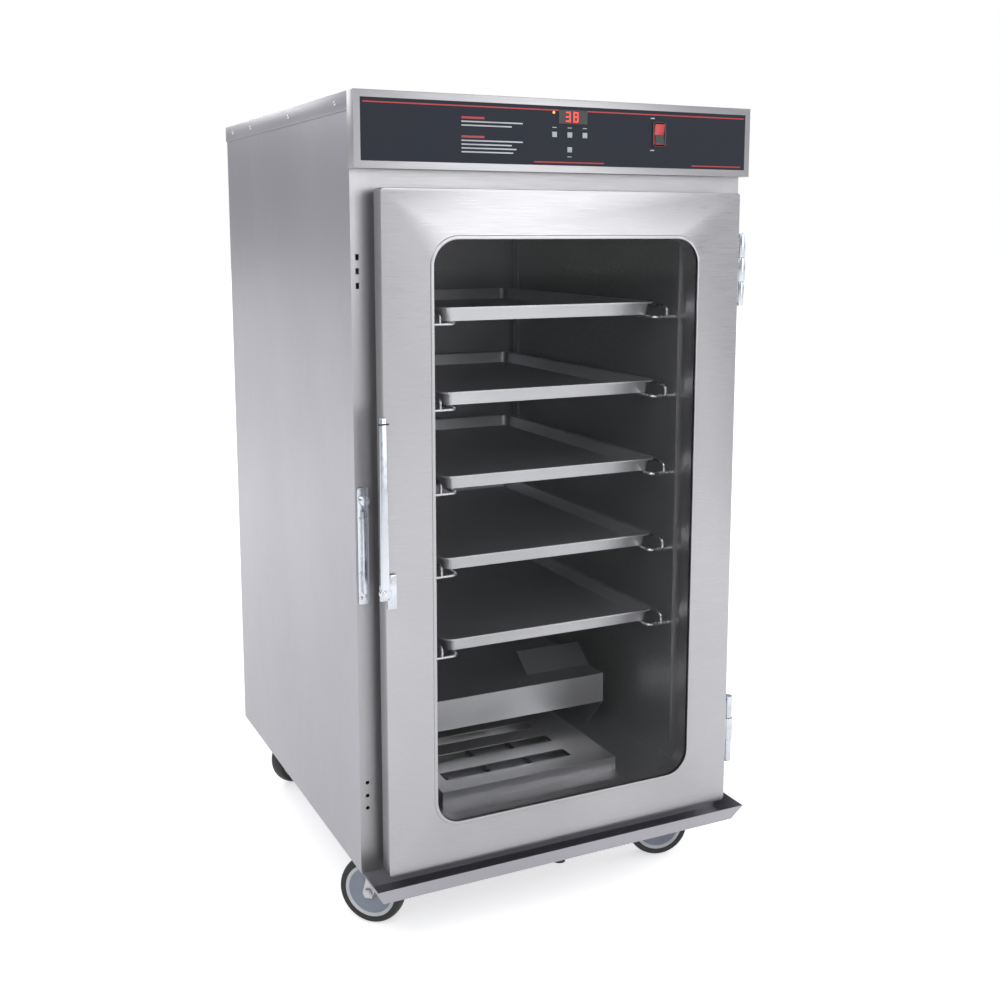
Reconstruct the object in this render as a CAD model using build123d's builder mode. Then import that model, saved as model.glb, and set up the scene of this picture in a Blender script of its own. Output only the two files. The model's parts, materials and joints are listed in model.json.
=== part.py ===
"""Proofing cabinet on swivel casters: insulated body, glazed door, control console and humidity module.

Frame: millimetres, +Z up from the floor, +X to the right of someone facing the door, +Y to the back.
The origin is under the middle of the bounding box.
"""

from build123d import *
from math import cos, radians, sin
import os

os.makedirs("parts", exist_ok=True)

# ---- driving dimensions -------------------------------------------------------------------------
body_width = 774.0
body_depth = 808.0
overall_height = 1500.0
skirt_height = 151.0            # floor to the lower edge of the body panels
sheet = 1.5                     # stainless sheet of skins, frame and door
liner_sheet = 1.2
touch_gap = 0.3                 # between soft or curved faces on different bodies
fit_gap = 0.5                   # loose fit of one sheet part inside another

console_height = 124.0
console_reach = 29.0            # console ahead of the face frame
lid_overhang = 2.0
lid_flange = 31.0

cavity_width = 578.0
cavity_floor = 220.0
cavity_top = 1330.0
cavity_front = 30.0             # behind the face frame's front
cavity_back_wall = 48.0         # wall thickness at the back
jamb_strip = 34.0               # face of the jamb beside the door and header

door_clear_side = 34.0          # body side to door edge
door_clear_bottom = 8.0
door_clear_top = 31.0
door_thickness = 33.0
gasket_thickness = 20.0
gasket_width = 14.0
gasket_inset = 8.0
window_width = 523.0
window_bottom = 237.0
window_top = 1262.0
window_radius = 45.0
lip_width = 6.0
lip_proud = 2.0
glass_thickness = 5.0
glass_lap = 12.0
door_corner_radius = 6.0

hinge_bottoms = (235.0, 1137.0)
hinge_length = 134.0
hinge_pin_inset = 21.0          # from the body side
hinge_pin_reach = 42.0          # ahead of the face frame
hinge_barrel_radius = 8.0
hinge_leaf_thickness = 3.0
hinge_pin_radius = 3.0
pin_clearance = 0.05

latch_pivot_z = 675.0
latch_arm_length = 298.0
latch_arm_width = 15.0
latch_arm_thickness = 7.0
latch_standoff = 6.0
latch_pin_radius = 4.0
latch_body_height = 60.0
latch_body_width = 34.0
strike_bottom = 643.0
strike_height = 204.0
strike_width = 20.0

rack_levels = 5
rack_pitch = 152.4
rack_first = 504.0
wire_radius = 3.0
rack_inner = 205.0              # half spacing of the rods that carry the pans
rack_guard = 237.0              # half spacing of the guard rods
guard_rise = 20.0
rack_inset = 22.0               # from the cavity's front and back to the slide rods
upright_width = 24.0
upright_thickness = 5.0
upright_foot = 6.0

pan_width = 457.0
pan_length = 660.0
pan_depth = 25.0
pan_sheet = 1.2
pan_rim = 9.0
pan_draft = 4.0
pan_shifts = ((2.0, 6.0), (0.0, 14.0), (3.0, 9.0), (4.0, 18.0), (-2.0, 11.0))
rack_shift = 30.0               # rack set towards the hinge side

cover_width = 370.0
cover_length = 275.0
cover_height = 30.0
cover_centre = -28.0            # set towards the latch side
cover_inset = 8.0              # behind the cavity's front
cover_step = 14.0               # height of the cover's front lip
cover_return = 8.0
slot_count = 3
slot_length = 270.0
slot_width = 34.0
slot_pitch = 78.0
slot_first = 62.0               # middle of the first slot behind the cover's front
slot_margin = 26.0              # left of the slots
water_pan_height = 20.0
water_pan_margin = 14.0
hood_width = 470.0
hood_height = 130.0
hood_length = 300.0
hood_inset = 190.0              # behind the cavity's front
hood_flange = 62.0
deflector_width = 150.0
deflector_inset = 60.0
deflector_rise = 36.0
element_radius = 4.0
element_margin = 34.0
fan_radius = 48.0
fan_width = 24.0
motor_radius = 34.0
motor_length = 60.0
shaft_radius = 4.0
fan_blades = 6

trough_reach = 76.0             # front lip ahead of the face frame
trough_end_margin = 3.0
trough_depth = 32.0
trough_clear = 1.0
trough_slope = 16.0
trough_flange = 22.0
drain_offset = 42.0             # drain ahead of the face frame
drain_radius = 9.0
drain_x = -12.0
plug_flange = 3.0
plug_tail = 9.0
plug_head = 4.0

wheel_radius = 63.5
wheel_width = 32.0
tyre_thickness = 13.0
hub_width = 26.0
caster_height = 158.0
caster_inset = 75.0
caster_trail = 28.0
caster_plate = 90.0
caster_plate_thickness = 3.0
kingpin_radius = 8.0
axle_radius = 6.0
fork_sheet = 3.0
fork_gap = 1.0
race_radius = 24.0
caster_angles = {"front_left": 134.0, "front_right": 164.0, "rear_left": 24.0, "rear_right": 98.0}

chassis_sheet = 3.0
gland_reach = 26.0              # mains gland behind the rear panel
gland_radius = 11.0
gland_bore = 5.0
gland_x = -300.0
gland_z = 260.0
gland_flange = 4.0

overlay_thickness = 0.8
overlay_margin = 12.0
key_size = 9.0
key_places = {"up": (5.0, 1440.0), "left": (-25.0, 1440.0), "right": (35.0, 1440.0), "down": (5.0, 1415.0)}
key_proud = 1.6
key_travel = 1.0
key_gap = 0.25
rocker_x = 188.0
rocker_z = 1447.0
rocker_width = 20.0
rocker_height = 38.0
rocker_proud = 4.0
rocker_depth = 14.0
rocker_gap = 0.6
screw_head_radius = 4.0
screw_head_height = 2.0

# ---- places worked out from the driving dimensions ---------------------------------------------
half = body_width / 2
front = (trough_reach - body_depth - gland_reach) / 2      # front plane of the face frame
rear = front + body_depth
console_bottom = overall_height - console_height
door_bottom = skirt_height + door_clear_bottom
door_top = console_bottom - door_clear_top
door_half = half - door_clear_side
door_back = front - gasket_thickness
door_front = door_back - door_thickness
window_half = window_width / 2
cavity_half = cavity_width / 2
cavity_y0 = front + cavity_front
cavity_y1 = rear - cavity_back_wall
lid_underside = overall_height - sheet
chassis_top = caster_height + chassis_sheet
hinge_x = half - hinge_pin_inset
hinge_y = front - hinge_pin_reach
console_front = front - console_reach


def block(x0, x1, y0, y1, z0, z1, mode=Mode.ADD):
    """Add or cut a box given by its two corners."""
    with Locations(((x0 + x1) / 2, (y0 + y1) / 2, (z0 + z1) / 2)):
        Box(x1 - x0, y1 - y0, z1 - z0, mode=mode)


def post(x, y, z0, z1, radius, mode=Mode.ADD):
    """Add or cut an upright cylinder."""
    with Locations((x, y, (z0 + z1) / 2)):
        Cylinder(radius, z1 - z0, mode=mode)


def bar(x, z, y0, y1, radius, mode=Mode.ADD):
    """Add or cut a cylinder that lies along Y."""
    with Locations((x, (y0 + y1) / 2, z)):
        Cylinder(radius, y1 - y0, rotation=(90, 0, 0), mode=mode)


def tube(points, bend, radius):
    """Sweep a round wire along straight runs joined by tangent arcs."""
    with BuildLine() as route:
        FilletPolyline(*points, radius=bend)
    with BuildSketch(Plane(route.line @ 0, z_dir=route.line % 0)) as section:
        Circle(radius)
    sweep(section.sketch, path=route.line)


def keep(builder, name):
    """Label a finished sub-part and write it."""
    builder.part.label = name
    export_step(builder.part, f"parts/{name}.step")


# ---- outer skins --------------------------------------------------------------------------------
for side, name in ((-1, "left_side_panel"), (1, "right_side_panel")):
    with BuildPart() as side_panel:
        outer = side * half
        inner = side * (half - sheet)
        block(min(outer, inner), max(outer, inner), front + sheet, rear - sheet, skirt_height, lid_underside)
    keep(side_panel, name)

with BuildPart() as rear_panel:
    block(-half, half, rear - sheet, rear, skirt_height, lid_underside)
    bar(gland_x, gland_z, rear - 2 * sheet, rear + sheet, gland_radius - 3 + fit_gap, Mode.SUBTRACT)
keep(rear_panel, "rear_panel")

lid_half = half + lid_overhang
with BuildPart() as top_lid:
    block(-lid_half, lid_half, front + sheet, rear + lid_overhang, lid_underside, overall_height)
    for side in (-1, 1):
        edges_x = sorted((side * lid_half, side * (lid_half - sheet)))
        block(*edges_x, front + sheet, rear + lid_overhang, overall_height - lid_flange, overall_height)
    block(-lid_half, lid_half, rear + lid_overhang - sheet, rear + lid_overhang,
          overall_height - lid_flange, overall_height)
keep(top_lid, "top_lid")

with BuildPart() as base_chassis:
    block(-half + sheet, half - sheet, front + 3 * sheet, rear - sheet, caster_height, chassis_top)
keep(base_chassis, "base_chassis")

# ---- face frame ---------------------------------------------------------------------------------
header_half = half - jamb_strip
for side, name in ((-1, "left_jamb"), (1, "right_jamb")):
    with BuildPart() as jamb:
        block(*sorted((side * half, side * cavity_half)), front, front + sheet, skirt_height, cavity_top)
        block(*sorted((side * half, side * header_half)), front, front + sheet, cavity_top, console_bottom)
        block(*sorted((side * (cavity_half + sheet), side * cavity_half)), front + sheet, cavity_y0,
              cavity_floor, cavity_top)
        if side < 0:
            for z in (1186.0, 1210.0, 1233.0):
                block(-half + 8, -half + 14, front - 1, front + sheet + 1, z - 5, z + 5, Mode.SUBTRACT)
            for z in (271.0, 294.0, 318.0):
                bar(-half + 14, z, front - 1, front + sheet + 1, 3.5, Mode.SUBTRACT)
    keep(jamb, name)

with BuildPart() as header_rail:
    block(-header_half, header_half, front, front + sheet, cavity_top, console_bottom)
    block(-cavity_half, cavity_half, front + sheet, cavity_y0, cavity_top, cavity_top + sheet)
keep(header_rail, "header_rail")

with BuildPart() as sill_rail:
    block(-cavity_half, cavity_half, front, front + sheet, skirt_height, cavity_floor)
    block(-cavity_half, cavity_half, front + sheet, cavity_y0, cavity_floor - sheet, cavity_floor)
keep(sill_rail, "sill_rail")

# ---- liner and insulation -----------------------------------------------------------------------
for side, name in ((-1, "liner_left"), (1, "liner_right")):
    with BuildPart() as liner_side:
        block(*sorted((side * cavity_half, side * (cavity_half + liner_sheet))), cavity_y0, cavity_y1,
              cavity_floor, cavity_top)
    keep(liner_side, name)

liner_half = cavity_half + liner_sheet
with BuildPart() as liner_back:
    block(-liner_half, liner_half, cavity_y1, cavity_y1 + liner_sheet, cavity_floor, cavity_top)
keep(liner_back, "liner_back")

with BuildPart() as liner_top:
    block(-liner_half, liner_half, cavity_y0, cavity_y1 + liner_sheet, cavity_top, cavity_top + liner_sheet)
keep(liner_top, "liner_top")

with BuildPart() as liner_floor:
    block(-liner_half, liner_half, cavity_y0, cavity_y1 + liner_sheet, cavity_floor - liner_sheet, cavity_floor)
keep(liner_floor, "liner_floor")

wool_out = half - sheet
wool_y0 = cavity_y0
wool_y1 = rear - sheet
wool_z0 = cavity_floor - liner_sheet
wool_z1 = cavity_top + liner_sheet
with BuildPart() as insulation:
    for side in (-1, 1):
        block(*sorted((side * liner_half, side * wool_out)), wool_y0, wool_y1, chassis_top, console_bottom)
    block(-liner_half, liner_half, wool_y0, wool_y1, chassis_top, wool_z0)
    block(-liner_half, liner_half, wool_y0, wool_y1, wool_z1, console_bottom)
    block(-liner_half, liner_half, cavity_y1 + liner_sheet, wool_y1, wool_z0, wool_z1)
    bar(gland_x, gland_z, rear - cavity_back_wall, rear, gland_radius + 2, Mode.SUBTRACT)
keep(insulation, "insulation")

# ---- control console ----------------------------------------------------------------------------
panel_z0 = console_bottom + overlay_margin
panel_z1 = overall_height - overlay_margin
panel_half = lid_half - overlay_margin
panel_back = console_front + sheet

with BuildPart() as console_housing:
    block(-lid_half, lid_half, console_front, front + sheet, console_bottom, overall_height)
    block(-lid_half + sheet, lid_half - sheet, panel_back, front + 2 * sheet,
          console_bottom + sheet, lid_underside, Mode.SUBTRACT)
    for x, z in key_places.values():
        reach = key_size / 2 + key_gap
        block(x - reach, x + reach, console_front - 1, panel_back + 1, z - reach, z + reach, Mode.SUBTRACT)
    block(rocker_x - rocker_width / 2 - rocker_gap, rocker_x + rocker_width / 2 + rocker_gap,
          console_front - 1, panel_back + 1,
          rocker_z - rocker_height / 2 - rocker_gap, rocker_z + rocker_height / 2 + rocker_gap, Mode.SUBTRACT)
keep(console_housing, "console_housing")

with BuildPart() as control_overlay:
    block(-panel_half, panel_half, console_front - overlay_thickness, console_front, panel_z0, panel_z1)
    for x, z in key_places.values():
        reach = key_size / 2 + key_gap
        block(x - reach, x + reach, console_front - 2, console_front + 1, z - reach, z + reach, Mode.SUBTRACT)
    block(rocker_x - rocker_width / 2 - rocker_gap, rocker_x + rocker_width / 2 + rocker_gap,
          console_front - 2, console_front + 1,
          rocker_z - rocker_height / 2 - rocker_gap, rocker_z + rocker_height / 2 + rocker_gap, Mode.SUBTRACT)
keep(control_overlay, "control_overlay")

key_stem_end = panel_back + 6
board_y = key_stem_end + key_travel + touch_gap
with BuildPart() as control_electronics:
    block(-60, 130, board_y, board_y + 1.6, 1400, 1485)
    for x in (-54, 124):
        for z in (1406, 1479):
            bar(x, z, panel_back, board_y, 3)
    block(-40, 20, board_y + 1.6, board_y + 9.6, 1420, 1450)
    block(-150, -60, cavity_y0 + 40, cavity_y0 + 150, console_bottom, console_bottom + 55)
    block(-40, 60, cavity_y0 + 40, cavity_y0 + 110, console_bottom, console_bottom + 38)
keep(control_electronics, "control_electronics")

for name, (x, z) in key_places.items():
    with BuildPart() as key:
        reach = key_size / 2
        block(x - reach, x + reach, console_front - overlay_thickness - key_proud, panel_back + 2,
              z - reach, z + reach)
        block(x - reach - 1, x + reach + 1, panel_back + touch_gap, panel_back + 2, z - reach - 1, z + reach + 1)
        bar(x, z, panel_back + 2, key_stem_end, 2)
    keep(key, f"key_{name}")

with BuildPart() as power_rocker:
    with BuildSketch(Plane.YZ.offset(rocker_x - rocker_width / 2)):
        rocker_face = console_front - overlay_thickness
        with BuildLine():
            Polyline((rocker_face - rocker_proud, rocker_z + rocker_height / 2 - 1),
                     (rocker_face - 1, rocker_z),
                     (rocker_face - rocker_proud + 2, rocker_z - rocker_height / 2 + 1),
                     (rocker_face + 3, rocker_z - rocker_height / 2 + 1),
                     (rocker_face + rocker_depth, rocker_z - 5),
                     (rocker_face + rocker_depth, rocker_z + 5),
                     (rocker_face + 3, rocker_z + rocker_height / 2 - 1), close=True)
        make_face()
    extrude(amount=rocker_width)
keep(power_rocker, "power_rocker")

# ---- rack: uprights, wire slides and pans -------------------------------------------------------
slide_y0 = cavity_y0 + rack_inset
slide_y1 = cavity_y1 - rack_inset
upright_top = rack_first + rack_levels * rack_pitch
upright_face = cavity_half - upright_thickness

with BuildPart() as rack_uprights:
    for side in (-1, 1):
        for y in (slide_y0, slide_y1):
            block(*sorted((side * cavity_half, side * upright_face)), y - upright_width / 2,
                  y + upright_width / 2, cavity_floor, upright_top)
keep(rack_uprights, "rack_uprights")

for side, name in ((-1, "left_slides"), (1, "right_slides")):
    with BuildPart() as slides:
        for level in range(rack_levels):
            z = rack_first + level * rack_pitch
            wall_x = side * upright_face
            rod_x = rack_shift + side * rack_inner
            guard_x = rack_shift + side * rack_guard
            tube([(wall_x, slide_y0, z), (rod_x, slide_y0, z), (rod_x, slide_y1, z), (wall_x, slide_y1, z)],
                 12, wire_radius)
            tube([(guard_x, slide_y0, z), (guard_x, slide_y0, z + guard_rise),
                  (guard_x, slide_y1, z + guard_rise), (guard_x, slide_y1, z)], 10, wire_radius)
    keep(slides, name)

for level, (shift_x, shift_y) in enumerate(pan_shifts):
    base = rack_first + level * rack_pitch + wire_radius
    centre_x = rack_shift + shift_x
    centre_y = slide_y0 + 4 + shift_y + pan_length / 2
    with BuildPart() as pan:
        floor_x = pan_width - 2 * (pan_rim + pan_draft)
        floor_y = pan_length - 2 * (pan_rim + pan_draft)
        with BuildSketch(Plane.XY.offset(base)):
            with Locations((centre_x, centre_y)):
                RectangleRounded(floor_x, floor_y, 14)
        with BuildSketch(Plane.XY.offset(base + pan_depth)):
            with Locations((centre_x, centre_y)):
                RectangleRounded(floor_x + 2 * pan_draft, floor_y + 2 * pan_draft, 18)
        loft()
        with BuildSketch(Plane.XY.offset(base + pan_depth - 3)):
            with Locations((centre_x, centre_y)):
                RectangleRounded(pan_width, pan_length, 24)
        extrude(amount=3)
        with BuildSketch(Plane.XY.offset(base + pan_sheet)):
            with Locations((centre_x, centre_y)):
                RectangleRounded(floor_x - 2 * pan_sheet, floor_y - 2 * pan_sheet, 12.5)
        with BuildSketch(Plane.XY.offset(base + pan_depth)):
            with Locations((centre_x, centre_y)):
                RectangleRounded(floor_x + 2 * (pan_draft - pan_sheet), floor_y + 2 * (pan_draft - pan_sheet), 16.5)
        loft(mode=Mode.SUBTRACT)
    keep(pan, f"sheet_pan_{level + 1}")

# ---- humidity and heating module ----------------------------------------------------------------
cover_x0 = cover_centre - cover_width / 2
cover_x1 = cover_centre + cover_width / 2
cover_y0 = cavity_y0 + cover_inset
cover_y1 = cover_y0 + cover_length
cover_z1 = cavity_floor + cover_height
with BuildPart() as slotted_cover:
    block(cover_x0, cover_x1, cover_y0, cover_y1, cover_z1 - sheet, cover_z1)
    for x0, x1 in ((cover_x0, cover_x0 + sheet), (cover_x1 - sheet, cover_x1)):
        block(x0, x1, cover_y0, cover_y1, cavity_floor, cover_z1)
    block(cover_x0, cover_x1, cover_y0, cover_y0 + sheet, cover_z1 - cover_step, cover_z1)
    block(cover_x0, cover_x1, cover_y0 + sheet, cover_y0 + cover_return, cover_z1 - cover_step,
          cover_z1 - cover_step + sheet)
    block(cover_x0, cover_x1, cover_y0 + cover_return - sheet, cover_y0 + cover_return, cavity_floor,
          cover_z1 - cover_step + sheet)
    with BuildSketch(Plane.XY.offset(cover_z1 - 2 * sheet)):
        slot_x = cover_x0 + slot_margin + slot_length / 2
        with Locations([(slot_x, cover_y0 + slot_first + i * slot_pitch) for i in range(slot_count)]):
            RectangleRounded(slot_length, slot_width, 3)
    extrude(amount=3 * sheet, mode=Mode.SUBTRACT)
keep(slotted_cover, "slotted_cover")

pan_x0 = cover_x0 + water_pan_margin
pan_x1 = cover_x1 - water_pan_margin
pan_y0 = cover_y0 + cover_return + water_pan_margin
pan_y1 = cover_y1 - water_pan_margin
with BuildPart() as water_pan:
    block(pan_x0, pan_x1, pan_y0, pan_y1, cavity_floor, cavity_floor + water_pan_height)
    fillet(water_pan.edges().filter_by(Axis.Z), 12)
    offset(amount=-sheet, openings=water_pan.faces().sort_by(Axis.Z)[-1])
keep(water_pan, "water_pan")

hood_half = hood_width / 2
hood_y0 = cavity_y0 + hood_inset
hood_y1 = hood_y0 + hood_length
hood_z1 = cavity_floor + hood_height
with BuildPart() as heater_hood:
    block(-hood_half, hood_half, hood_y0, hood_y1, hood_z1 - sheet, hood_z1)
    block(-hood_half, hood_half, hood_y0, hood_y0 + sheet, hood_z1 - hood_flange, hood_z1)
    for side in (-1, 1):
        with BuildSketch(Plane.YZ.offset(side * hood_half - (sheet if side > 0 else 0))):
            with BuildLine():
                Polyline((hood_y0, hood_z1), (hood_y0, hood_z1 - hood_flange), (hood_y0 + 60, cavity_floor),
                         (hood_y1, cavity_floor), (hood_y1, hood_z1), close=True)
            make_face()
        extrude(amount=sheet)
    with BuildSketch(Plane.YZ.offset(hood_half - deflector_width)):
        deflector_y = hood_y0 + deflector_inset
        with BuildLine():
            Polyline((deflector_y, hood_z1), (deflector_y + 50, hood_z1 + deflector_rise),
                     (deflector_y + 52, hood_z1 + deflector_rise - 1), (deflector_y + 4, hood_z1), close=True)
        make_face()
    extrude(amount=deflector_width)
keep(heater_hood, "heater_hood")

fan_z = cavity_floor + hood_height / 2
fan_y = hood_y1 - 60
with BuildPart() as fan_motor:
    bar(0, fan_z, fan_y, fan_y + motor_length, motor_radius)
    bar(0, fan_z, fan_y - 30, fan_y, shaft_radius)
    block(-50, 50, fan_y + 20, fan_y + 23, cavity_floor, fan_z)
keep(fan_motor, "fan_motor")

with BuildPart() as fan_wheel:
    bar(0, fan_z, fan_y - 30, fan_y - 30 + fan_width, 12)
    for i in range(fan_blades):
        turn = 360 / fan_blades * i
        blade_plane = Plane(origin=(0, fan_y - 30, fan_z), x_dir=(cos(radians(turn)), 0, sin(radians(turn))),
                            z_dir=(0, -1, 0))
        with BuildSketch(blade_plane.offset(-fan_width)):
            with Locations(((fan_radius + 10) / 2, 0)):
                Rectangle(fan_radius - 10, 2)
        extrude(amount=fan_width)
    bar(0, fan_z, fan_y - 31, fan_y - 30 + fan_width + 1, shaft_radius + pin_clearance, Mode.SUBTRACT)
keep(fan_wheel, "fan_wheel")

with BuildPart() as heating_elements:
    z = cavity_floor + sheet + element_radius
    run_y0 = pan_y0 + element_margin
    run_y1 = pan_y1 - element_margin
    runs = [pan_x0 + element_margin + i * (pan_x1 - pan_x0 - 2 * element_margin) / 3 for i in range(4)]
    tube([(runs[0], run_y1, z), (runs[0], run_y0, z), (runs[1], run_y0, z), (runs[1], run_y1, z),
          (runs[2], run_y1, z), (runs[2], run_y0, z), (runs[3], run_y0, z), (runs[3], run_y1, z)],
         24, element_radius)
    for side in (-1, 1):
        x0 = side * (fan_radius + 30)
        x1 = side * (hood_half - 30)
        coil_y0 = cover_y1 + element_margin
        tube([(x0, hood_y1 - 10, fan_z + 30), (x0, coil_y0, fan_z + 30), (x1, coil_y0, fan_z + 30),
              (x1, hood_y1 - 10, fan_z + 30)], 24, element_radius)
        for x in (x0, x1):
            block(x - 6, x + 6, hood_y1 - 10, hood_y1 - 7, fan_z + 24, hood_z1 - sheet)
keep(heating_elements, "heating_elements")

with BuildPart() as temperature_probe:
    bar(180, 700, cavity_y1 - 60, cavity_y1, 3)
    block(170, 190, cavity_y1 - 4, cavity_y1, 690, 710)
keep(temperature_probe, "temperature_probe")

# ---- drip trough and its plug -------------------------------------------------------------------
trough_top = skirt_height - trough_clear
trough_bottom = trough_top - trough_depth
trough_half = half - trough_end_margin
trough_y0 = front - trough_reach
trough_y1 = front + 2 * sheet


def trough_sections(inset, z0, z1):
    """Bottom and top outlines of the tray, sloping in at the front and the ends, less a wall thickness."""
    sections = []
    for z, slope in ((z0, trough_slope), (z1, 0)):
        x = trough_half - slope - inset
        y0 = trough_y0 + slope + inset
        with BuildSketch(Plane.XY.offset(z)) as section:
            with BuildLine():
                Polyline((-x, y0), (x, y0), (x, trough_y1 - inset), (-x, trough_y1 - inset), close=True)
            make_face()
        sections.append(section.sketch)
    return sections


with BuildPart() as drip_trough:
    loft(trough_sections(0, trough_bottom, trough_top))
    block(-cavity_half + 10, cavity_half - 10, front + sheet, trough_y1, trough_top, trough_top + trough_flange)
    loft(trough_sections(sheet, trough_bottom + sheet, trough_top), mode=Mode.SUBTRACT)
    post(drain_x, front - drain_offset, trough_bottom - 1, trough_bottom + 2 * sheet, drain_radius, Mode.SUBTRACT)
keep(drip_trough, "drip_trough")

with BuildPart() as drain_plug:
    drain_y = front - drain_offset
    post(drain_x, drain_y, trough_bottom - plug_tail, trough_bottom - touch_gap, drain_radius + plug_flange)
    post(drain_x, drain_y, trough_bottom - touch_gap, trough_bottom + sheet, drain_radius - touch_gap)
keep(drain_plug, "drain_plug")

# ---- door ---------------------------------------------------------------------------------------
window_mid = (window_bottom + window_top) / 2
window_height = window_top - window_bottom
door_mid = (door_bottom + door_top) / 2
door_height = door_top - door_bottom


def window_outline(grow):
    """Window opening, grown or shrunk all round, on the current sketch."""
    with Locations((0, window_mid)):
        RectangleRounded(window_width + 2 * grow, window_height + 2 * grow, window_radius + grow)


def front_plane(y):
    """Sketch plane facing forward at a depth; its x runs to the right and its y up."""
    return Plane(origin=(0, y, 0), x_dir=(1, 0, 0), z_dir=(0, -1, 0))


with BuildPart() as door_outer_frame:
    with BuildSketch(front_plane(door_back)):
        with Locations((0, door_mid)):
            RectangleRounded(2 * door_half, door_height, door_corner_radius)
    extrude(amount=door_thickness)
    with BuildSketch(front_plane(door_back)):
        with Locations((0, door_mid)):
            RectangleRounded(2 * (door_half - sheet), door_height - 2 * sheet, door_corner_radius - sheet)
    extrude(amount=door_thickness - sheet, mode=Mode.SUBTRACT)
    with BuildSketch(front_plane(door_front)):
        window_outline(lip_width)
    extrude(amount=lip_proud)
    with BuildSketch(front_plane(door_front + 2 * sheet)):
        window_outline(0)
    extrude(amount=2 * sheet + 2 * lip_proud, mode=Mode.SUBTRACT)
keep(door_outer_frame, "door_outer_frame")

glass_front = door_front + sheet
with BuildPart() as door_glass:
    with BuildSketch(front_plane(glass_front + glass_thickness)):
        window_outline(glass_lap)
    extrude(amount=glass_thickness)
keep(door_glass, "door_glass")

with BuildPart() as door_inner_frame:
    with BuildSketch(front_plane(door_back)):
        with Locations((0, door_mid)):
            RectangleRounded(2 * (door_half - sheet), door_height - 2 * sheet, door_corner_radius - sheet)
        with Locations((0, window_mid)):
            RectangleRounded(window_width, window_height, window_radius, mode=Mode.SUBTRACT)
    extrude(amount=sheet)
    with BuildSketch(front_plane(door_back - sheet)):
        window_outline(sheet)
        with Locations((0, window_mid)):
            RectangleRounded(window_width, window_height, window_radius, mode=Mode.SUBTRACT)
    extrude(amount=door_thickness - 2 * sheet - glass_thickness)
keep(door_inner_frame, "door_inner_frame")

with BuildPart() as door_gasket:
    gasket_half = door_half - gasket_inset
    gasket_height = door_height - 2 * gasket_inset
    with BuildSketch(front_plane(front - touch_gap)):
        with Locations((0, door_mid)):
            RectangleRounded(2 * gasket_half, gasket_height, door_corner_radius)
            RectangleRounded(2 * (gasket_half - gasket_width), gasket_height - 2 * gasket_width, 2,
                             mode=Mode.SUBTRACT)
    extrude(amount=gasket_thickness - touch_gap)
keep(door_gasket, "door_gasket")

# ---- hinges: body leaves with pins, door leaves with bores --------------------------------------
knuckle = hinge_length / 3
with BuildPart() as hinge_body_leaves:
    for z in hinge_bottoms:
        block(hinge_x - 5, half - 1, front - hinge_leaf_thickness, front, z, z + hinge_length)
        for start in (0, 2 * knuckle):
            block(hinge_x - 3, hinge_x + 3, hinge_y, front - hinge_leaf_thickness, z + start, z + start + knuckle)
            post(hinge_x, hinge_y, z + start, z + start + knuckle, hinge_barrel_radius)
        post(hinge_x, hinge_y, z + knuckle, z + 2 * knuckle, hinge_pin_radius)
keep(hinge_body_leaves, "hinge_body_leaves")

with BuildPart() as hinge_door_leaves:
    for z in hinge_bottoms:
        low = z + knuckle + touch_gap
        high = z + 2 * knuckle - touch_gap
        block(door_half, door_half + hinge_leaf_thickness, door_front + 3, door_back - 3, z + 6,
              z + hinge_length - 6)
        block(door_half + hinge_leaf_thickness, hinge_x, hinge_y - 5, hinge_y + 5, low, high)
        post(hinge_x, hinge_y, low, high, hinge_barrel_radius + 1.5)
        post(hinge_x, hinge_y, low - 1, high + 1, hinge_pin_radius + pin_clearance, Mode.SUBTRACT)
keep(hinge_door_leaves, "hinge_door_leaves")

# ---- latch: body on the door, lever, strike on the jamb -----------------------------------------
latch_x = -door_half - 5
latch_y1 = door_front - latch_standoff
latch_y0 = latch_y1 - latch_arm_thickness
with BuildPart() as latch_body:
    block(-door_half + fit_gap, -door_half + latch_body_width, door_front - 5, door_front,
          latch_pivot_z - latch_body_height / 2, latch_pivot_z + latch_body_height / 2)
    fillet(latch_body.edges().filter_by(Axis.Y), 5)
    block(latch_x - 8, -door_half + 4, door_front - 5, door_front - 1, latch_pivot_z - 14, latch_pivot_z + 14)
    bar(latch_x, latch_pivot_z, latch_y0 - 1, door_front - 5, latch_pin_radius)
    bar(latch_x, latch_pivot_z, latch_y0 - 4, latch_y0 - 1, latch_pin_radius + 4)
keep(latch_body, "latch_body")

with BuildPart() as latch_lever:
    with BuildSketch(front_plane(latch_y1)):
        with Locations((latch_x, latch_pivot_z)):
            Circle(latch_arm_width / 2 + 3)
        with BuildLine():
            Polyline((latch_x - latch_arm_width / 2, latch_pivot_z),
                     (latch_x - latch_arm_width / 2 + 2, latch_pivot_z + latch_arm_length),
                     (latch_x + latch_arm_width / 2 - 2, latch_pivot_z + latch_arm_length),
                     (latch_x + latch_arm_width / 2, latch_pivot_z), close=True)
        make_face()
    extrude(amount=latch_arm_thickness)
    bar(latch_x, latch_pivot_z, latch_y0 - 1, latch_y1 + 1, latch_pin_radius + pin_clearance, Mode.SUBTRACT)
keep(latch_lever, "latch_lever")

with BuildPart() as latch_strike:
    strike_x0 = -half + 3
    block(strike_x0, strike_x0 + strike_width, front - 4, front, strike_bottom, strike_bottom + strike_height)
    fillet(latch_strike.edges().filter_by(Axis.Y), 4)
    block(strike_x0 + 6, strike_x0 + 14, front - 12, front - 4, strike_bottom + 20, strike_bottom + strike_height - 40)
    bar(strike_x0 + 10, strike_bottom + strike_height - 22, front - 16, front - 4, 8)
keep(latch_strike, "latch_strike")

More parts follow.
